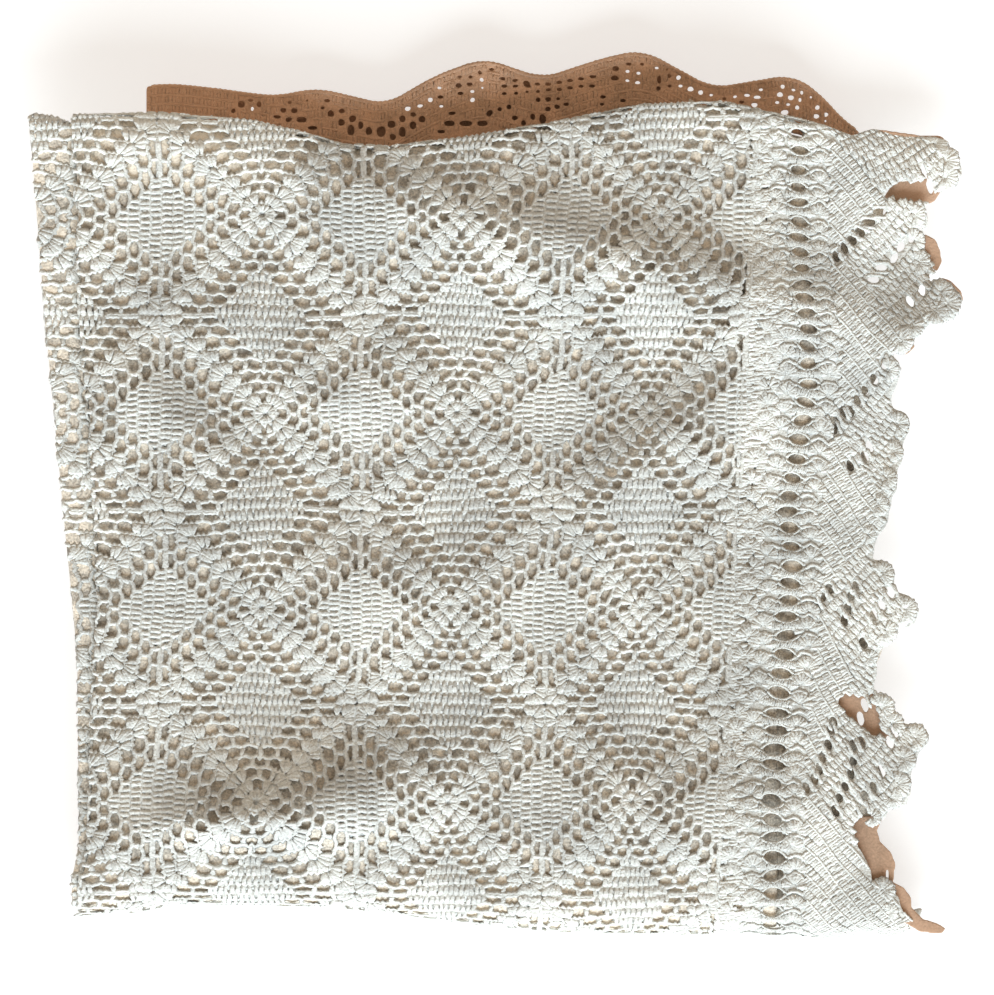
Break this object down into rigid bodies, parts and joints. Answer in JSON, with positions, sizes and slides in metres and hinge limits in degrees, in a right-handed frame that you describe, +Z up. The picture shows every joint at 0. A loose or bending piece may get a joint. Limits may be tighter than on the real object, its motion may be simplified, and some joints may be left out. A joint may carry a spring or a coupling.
{
  "type": "crochet bedspread",
  "caption": "Folded cotton crochet bedspread of joined openwork squares, with a rippled border and shell edging.",
  "frame": {"origin": "on the resting surface, under the middle of the folded stack's footprint", "axes": "+Z up from the resting surface, +Y towards the far fold with the free ends past it, +X towards the rippled border"},
  "size_m": [0.5606, 0.5344, 0.074],
  "materials": {
    "cotton_yarn": "matte mercerised cotton crochet yarn"
  },
  "bodies": {
    "root": {"crochet_bedspread": "cotton_yarn"}
  },
  "joints": []
}
